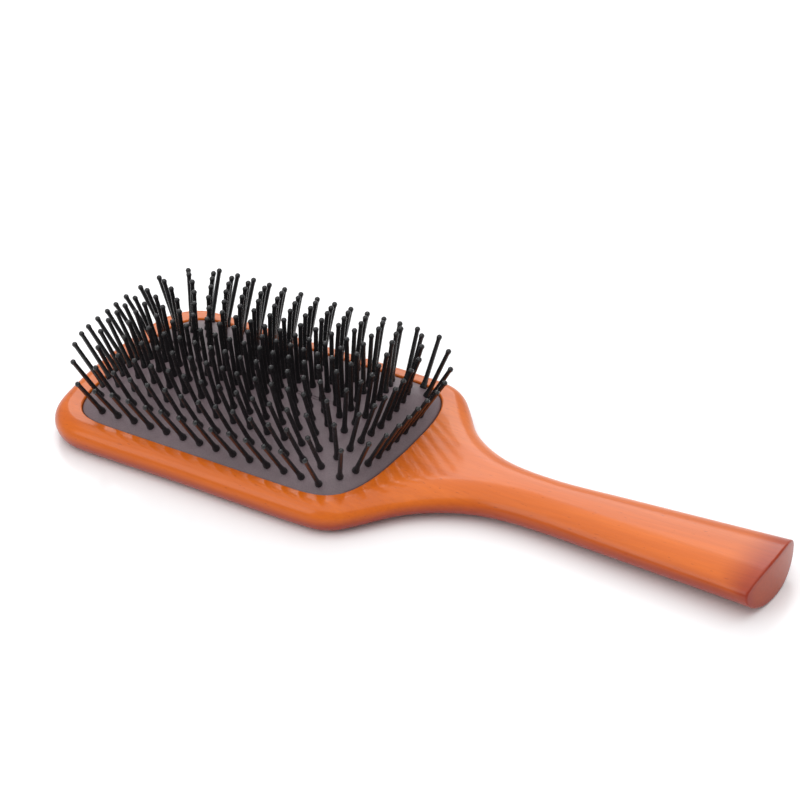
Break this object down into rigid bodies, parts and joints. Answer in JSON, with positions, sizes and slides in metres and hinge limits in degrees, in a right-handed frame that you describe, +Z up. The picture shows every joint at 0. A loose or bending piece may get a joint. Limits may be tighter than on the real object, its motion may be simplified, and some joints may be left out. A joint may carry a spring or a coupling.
{
  "type": "hairbrush",
  "caption": "Wooden paddle hairbrush with a domed air cushion in its head and leaning rows of ball-tipped pins.",
  "frame": {"origin": "under the middle of the brush as it lies on its back, on the surface it lies on", "axes": "+X along the brush towards the end of the grip, +Y across the head, +Z up through the cushion and pins"},
  "size_m": [0.253, 0.082, 0.0381],
  "materials": {
    "wood": "clear gloss lacquer over orange-brown stained wood",
    "rubber": "matte dark plum-grey rubber",
    "nylon": "semi-gloss black nylon"
  },
  "bodies": {
    "paddle": {"paddle_body": "wood"},
    "cushion": {"cushion_membrane": "rubber"},
    "pin_row_01_tip": {"pin_row_01_tip": "nylon"},
    "pin_row_01_grip": {"pin_row_01_grip": "nylon"},
    "pin_row_02_tip": {"pin_row_02_tip": "nylon"},
    "pin_row_02_grip": {"pin_row_02_grip": "nylon"},
    "pin_row_03_tip": {"pin_row_03_tip": "nylon"},
    "pin_row_03_grip": {"pin_row_03_grip": "nylon"},
    "pin_row_04_tip": {"pin_row_04_tip": "nylon"},
    "pin_row_04_grip": {"pin_row_04_grip": "nylon"},
    "pin_row_05_tip": {"pin_row_05_tip": "nylon"},
    "pin_row_05_grip": {"pin_row_05_grip": "nylon"},
    "pin_row_06_tip": {"pin_row_06_tip": "nylon"},
    "pin_row_06_grip": {"pin_row_06_grip": "nylon"},
    "pin_row_07_tip": {"pin_row_07_tip": "nylon"},
    "pin_row_07_grip": {"pin_row_07_grip": "nylon"},
    "pin_row_08_tip": {"pin_row_08_tip": "nylon"},
    "pin_row_08_grip": {"pin_row_08_grip": "nylon"},
    "pin_row_09_tip": {"pin_row_09_tip": "nylon"},
    "pin_row_09_grip": {"pin_row_09_grip": "nylon"},
    "pin_row_10_tip": {"pin_row_10_tip": "nylon"},
    "pin_row_10_grip": {"pin_row_10_grip": "nylon"},
    "pin_row_11_tip": {"pin_row_11_tip": "nylon"},
    "pin_row_11_grip": {"pin_row_11_grip": "nylon"},
    "pin_row_12_tip": {"pin_row_12_tip": "nylon"},
    "pin_row_12_grip": {"pin_row_12_grip": "nylon"},
    "pin_row_13_tip": {"pin_row_13_tip": "nylon"},
    "pin_row_13_grip": {"pin_row_13_grip": "nylon"}
  },
  "joints": [
    {"name": "cushion_press", "type": "slide", "parent": "paddle", "child": "cushion", "axis": [0, 0, 1], "range_m": [-0.002, 0], "stiffness_N_per_m": 2500, "deforming": ["cushion_membrane"]},
    {"name": "pin_row_01_tip_tilt", "type": "hinge", "parent": "cushion", "child": "pin_row_01_tip", "pos_m": [-0.0865, -0.03, 0.0123], "axis": [1, 0, 0], "range_deg": [-8, 8], "stiffness_Nm_per_rad": 0.06},
    {"name": "pin_row_01_grip_tilt", "type": "hinge", "parent": "cushion", "child": "pin_row_01_grip", "pos_m": [-0.0335, -0.03, 0.0123], "axis": [1, 0, 0], "range_deg": [-8, 8], "stiffness_Nm_per_rad": 0.06},
    {"name": "pin_row_02_tip_tilt", "type": "hinge", "parent": "cushion", "child": "pin_row_02_tip", "pos_m": [-0.0865, -0.025, 0.0149], "axis": [1, 0, 0], "range_deg": [-8, 8], "stiffness_Nm_per_rad": 0.06},
    {"name": "pin_row_02_grip_tilt", "type": "hinge", "parent": "cushion", "child": "pin_row_02_grip", "pos_m": [-0.0335, -0.025, 0.0149], "axis": [1, 0, 0], "range_deg": [-8, 8], "stiffness_Nm_per_rad": 0.06},
    {"name": "pin_row_03_tip_tilt", "type": "hinge", "parent": "cushion", "child": "pin_row_03_tip", "pos_m": [-0.0865, -0.02, 0.017], "axis": [1, 0, 0], "range_deg": [-8, 8], "stiffness_Nm_per_rad": 0.06},
    {"name": "pin_row_03_grip_tilt", "type": "hinge", "parent": "cushion", "child": "pin_row_03_grip", "pos_m": [-0.0335, -0.02, 0.017], "axis": [1, 0, 0], "range_deg": [-8, 8], "stiffness_Nm_per_rad": 0.06},
    {"name": "pin_row_04_tip_tilt", "type": "hinge", "parent": "cushion", "child": "pin_row_04_tip", "pos_m": [-0.0865, -0.015, 0.0183], "axis": [1, 0, 0], "range_deg": [-8, 8], "stiffness_Nm_per_rad": 0.06},
    {"name": "pin_row_04_grip_tilt", "type": "hinge", "parent": "cushion", "child": "pin_row_04_grip", "pos_m": [-0.0335, -0.015, 0.0183], "axis": [1, 0, 0], "range_deg": [-8, 8], "stiffness_Nm_per_rad": 0.06},
    {"name": "pin_row_05_tip_tilt", "type": "hinge", "parent": "cushion", "child": "pin_row_05_tip", "pos_m": [-0.0865, -0.01, 0.0192], "axis": [1, 0, 0], "range_deg": [-8, 8], "stiffness_Nm_per_rad": 0.06},
    {"name": "pin_row_05_grip_tilt", "type": "hinge", "parent": "cushion", "child": "pin_row_05_grip", "pos_m": [-0.0335, -0.01, 0.0192], "axis": [1, 0, 0], "range_deg": [-8, 8], "stiffness_Nm_per_rad": 0.06},
    {"name": "pin_row_06_tip_tilt", "type": "hinge", "parent": "cushion", "child": "pin_row_06_tip", "pos_m": [-0.0865, -0.005, 0.0194], "axis": [1, 0, 0], "range_deg": [-8, 8], "stiffness_Nm_per_rad": 0.06},
    {"name": "pin_row_06_grip_tilt", "type": "hinge", "parent": "cushion", "child": "pin_row_06_grip", "pos_m": [-0.0335, -0.005, 0.0194], "axis": [1, 0, 0], "range_deg": [-8, 8], "stiffness_Nm_per_rad": 0.06},
    {"name": "pin_row_07_tip_tilt", "type": "hinge", "parent": "cushion", "child": "pin_row_07_tip", "pos_m": [-0.0865, 0, 0.0195], "axis": [1, 0, 0], "range_deg": [-8, 8], "stiffness_Nm_per_rad": 0.06},
    {"name": "pin_row_07_grip_tilt", "type": "hinge", "parent": "cushion", "child": "pin_row_07_grip", "pos_m": [-0.0335, 0, 0.0195], "axis": [1, 0, 0], "range_deg": [-8, 8], "stiffness_Nm_per_rad": 0.06},
    {"name": "pin_row_08_tip_tilt", "type": "hinge", "parent": "cushion", "child": "pin_row_08_tip", "pos_m": [-0.0865, 0.005, 0.0194], "axis": [1, 0, 0], "range_deg": [-8, 8], "stiffness_Nm_per_rad": 0.06},
    {"name": "pin_row_08_grip_tilt", "type": "hinge", "parent": "cushion", "child": "pin_row_08_grip", "pos_m": [-0.0335, 0.005, 0.0194], "axis": [1, 0, 0], "range_deg": [-8, 8], "stiffness_Nm_per_rad": 0.06},
    {"name": "pin_row_09_tip_tilt", "type": "hinge", "parent": "cushion", "child": "pin_row_09_tip", "pos_m": [-0.0865, 0.01, 0.0192], "axis": [1, 0, 0], "range_deg": [-8, 8], "stiffness_Nm_per_rad": 0.06},
    {"name": "pin_row_09_grip_tilt", "type": "hinge", "parent": "cushion", "child": "pin_row_09_grip", "pos_m": [-0.0335, 0.01, 0.0192], "axis": [1, 0, 0], "range_deg": [-8, 8], "stiffness_Nm_per_rad": 0.06},
    {"name": "pin_row_10_tip_tilt", "type": "hinge", "parent": "cushion", "child": "pin_row_10_tip", "pos_m": [-0.0865, 0.015, 0.0183], "axis": [1, 0, 0], "range_deg": [-8, 8], "stiffness_Nm_per_rad": 0.06},
    {"name": "pin_row_10_grip_tilt", "type": "hinge", "parent": "cushion", "child": "pin_row_10_grip", "pos_m": [-0.0335, 0.015, 0.0183], "axis": [1, 0, 0], "range_deg": [-8, 8], "stiffness_Nm_per_rad": 0.06},
    {"name": "pin_row_11_tip_tilt", "type": "hinge", "parent": "cushion", "child": "pin_row_11_tip", "pos_m": [-0.0865, 0.02, 0.017], "axis": [1, 0, 0], "range_deg": [-8, 8], "stiffness_Nm_per_rad": 0.06},
    {"name": "pin_row_11_grip_tilt", "type": "hinge", "parent": "cushion", "child": "pin_row_11_grip", "pos_m": [-0.0335, 0.02, 0.017], "axis": [1, 0, 0], "range_deg": [-8, 8], "stiffness_Nm_per_rad": 0.06},
    {"name": "pin_row_12_tip_tilt", "type": "hinge", "parent": "cushion", "child": "pin_row_12_tip", "pos_m": [-0.0865, 0.025, 0.0149], "axis": [1, 0, 0], "range_deg": [-8, 8], "stiffness_Nm_per_rad": 0.06},
    {"name": "pin_row_12_grip_tilt", "type": "hinge", "parent": "cushion", "child": "pin_row_12_grip", "pos_m": [-0.0335, 0.025, 0.0149], "axis": [1, 0, 0], "range_deg": [-8, 8], "stiffness_Nm_per_rad": 0.06},
    {"name": "pin_row_13_tip_tilt", "type": "hinge", "parent": "cushion", "child": "pin_row_13_tip", "pos_m": [-0.0865, 0.03, 0.0123], "axis": [1, 0, 0], "range_deg": [-8, 8], "stiffness_Nm_per_rad": 0.06},
    {"name": "pin_row_13_grip_tilt", "type": "hinge", "parent": "cushion", "child": "pin_row_13_grip", "pos_m": [-0.0335, 0.03, 0.0123], "axis": [1, 0, 0], "range_deg": [-8, 8], "stiffness_Nm_per_rad": 0.06}
  ]
}
